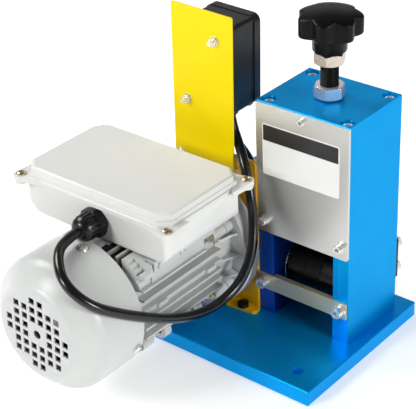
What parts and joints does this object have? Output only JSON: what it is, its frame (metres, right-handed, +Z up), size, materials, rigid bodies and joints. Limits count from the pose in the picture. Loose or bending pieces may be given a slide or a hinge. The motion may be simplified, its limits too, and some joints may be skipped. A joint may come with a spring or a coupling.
{
  "type": "wire stripping machine",
  "caption": "Motorised bench wire stripper: a worm-geared motor turns a knurled feed roller under a screw-adjusted disc blade in a blue upright head.",
  "frame": {"origin": "centre of the base plate on its underside", "axes": "+Z up; +X to the right, seen from the side where the wire comes out; +Y from that front side towards the inlet side"},
  "size_m": [0.2576, 0.4219, 0.3103],
  "materials": {
    "blue_paint": "smooth enamel over machined plate",
    "black_steel": "black oxide",
    "zinc_screws": "bright zinc",
    "stainless_sheet": "fine brushed",
    "stainless_screws": "bright",
    "zinc_sheet": "yellowish zinc plate",
    "bearing_steel": "ground",
    "dark_tool_steel": "blackened, knurled",
    "blade_steel": "ground edge",
    "black_screw": "black oxide thread",
    "zinc_nut": "bright zinc",
    "stainless_nut": "bright",
    "black_plastic": "moulded, semi-gloss",
    "gearbox_alloy": "shot-blasted casting",
    "bronze": "machined",
    "grey_alloy": "light grey paint on die casting",
    "lamination": "stacked sheet",
    "copper_winding": "varnished wire",
    "fan_plastic": "moulded",
    "grey_sheet": "light grey powder coat",
    "grey_box": "light grey moulded",
    "brass_screws": "yellow zinc",
    "cream_plastic": "moulded",
    "amber_paint": "enamel",
    "yellow_paint": "gloss enamel",
    "black_box": "fine spark texture",
    "green_plastic": "moulded",
    "red_plastic": "moulded",
    "cord_pvc": "glossy sheath",
    "plug_black": "moulded"
  },
  "bodies": {
    "root": {"base_plate": "blue_paint", "base_screws": "black_steel", "left_side_plate": "blue_paint", "right_side_plate": "blue_paint", "top_plate": "blue_paint", "top_plate_screws": "zinc_screws", "front_cover": "stainless_sheet", "front_screws": "stainless_screws", "front_bar": "zinc_sheet", "inlet_guide_plate": "black_steel", "inlet_guide_bolts": "zinc_screws", "shaft_bearings": "bearing_steel", "gearbox_housing": "gearbox_alloy", "gearbox_covers": "gearbox_alloy", "gearbox_cover_screws": "zinc_screws", "motor_frame": "grey_alloy", "stator_core": "lamination", "stator_windings": "copper_winding", "drive_end_shield": "grey_alloy", "rear_end_shield": "grey_alloy", "motor_screws": "brass_screws", "motor_bearings": "bearing_steel", "fan_cover": "grey_sheet", "terminal_box": "grey_box", "terminal_box_lid": "grey_box", "terminal_box_screws": "brass_screws", "terminal_block": "cream_plastic", "run_capacitor": "cream_plastic", "motor_cable_gland": "black_plastic", "wall_bracket": "amber_paint", "wall_bracket_bolt": "black_steel", "switch_plate": "yellow_paint", "switch_mount_bolts": "stainless_screws", "switch_box": "black_box", "switch_box_lid": "black_box", "switch_lid_screws": "zinc_screws", "switch_contact_block": "cream_plastic", "switch_cable_glands": "black_plastic", "motor_cable": "cord_pvc", "mains_cord": "cord_pvc", "mains_cord_coil": "cord_pvc", "mains_cord_tail": "cord_pvc", "mains_plug": "plug_black"},
    "rotor": {"motor_shaft": "bearing_steel", "rotor_core": "lamination", "cooling_fan": "fan_plastic", "worm_shaft": "bearing_steel"},
    "roller": {"feed_roller": "dark_tool_steel", "roller_shaft": "bearing_steel", "worm_wheel": "bronze"},
    "carriage": {"blade_carriage": "dark_tool_steel", "blade_axle": "bearing_steel", "thrust_collar": "bearing_steel"},
    "blade": {"blade_wheel": "blade_steel"},
    "screw": {"pressure_screw": "black_screw", "knob_nut": "stainless_nut", "star_knob": "black_plastic"},
    "locknut": {"lock_nut": "zinc_nut"},
    "start": {"start_button": "green_plastic"},
    "stop": {"stop_button": "red_plastic"}
  },
  "joints": [
    {"name": "motor_spin", "type": "hinge", "parent": "root", "child": "rotor", "pos_m": [-0.0445, 0, 0.086], "axis": [0, 1, 0], "continuous": true},
    {"name": "roller_spin", "type": "hinge", "parent": "root", "child": "roller", "pos_m": [0, 0.0315, 0.056], "axis": [1, 0, 0], "continuous": true},
    {"name": "blade_slide", "type": "slide", "parent": "root", "child": "carriage", "axis": [0, 0, 1], "range_m": [-0.0115, 0.016]},
    {"name": "blade_spin", "type": "hinge", "parent": "carriage", "child": "blade", "pos_m": [0.064, 0.0315, 0.1195], "axis": [1, 0, 0], "continuous": true},
    {"name": "knob_turn", "type": "hinge", "parent": "carriage", "child": "screw", "pos_m": [0.064, 0.0315, 0.25], "axis": [0, 0, 1], "range_deg": [-2072, 2882]},
    {"name": "lock_nut_turn", "type": "hinge", "parent": "root", "child": "locknut", "pos_m": [0.064, 0.0315, 0.235], "axis": [0, 0, 1], "range_deg": [0, 180]},
    {"name": "start_press", "type": "slide", "parent": "root", "child": "start", "axis": [0, -1, 0], "range_m": [0, 0.003], "stiffness_N_per_m": 300},
    {"name": "stop_press", "type": "slide", "parent": "root", "child": "stop", "axis": [0, -1, 0], "range_m": [0, 0.003], "stiffness_N_per_m": 300}
  ],
  "couplings": [
    {"joint": "roller_spin", "follows": "motor_spin", "ratio": 0.033333},
    {"joint": "knob_turn", "follows": "blade_slide", "rad_per_m": 3141.6}
  ]
}
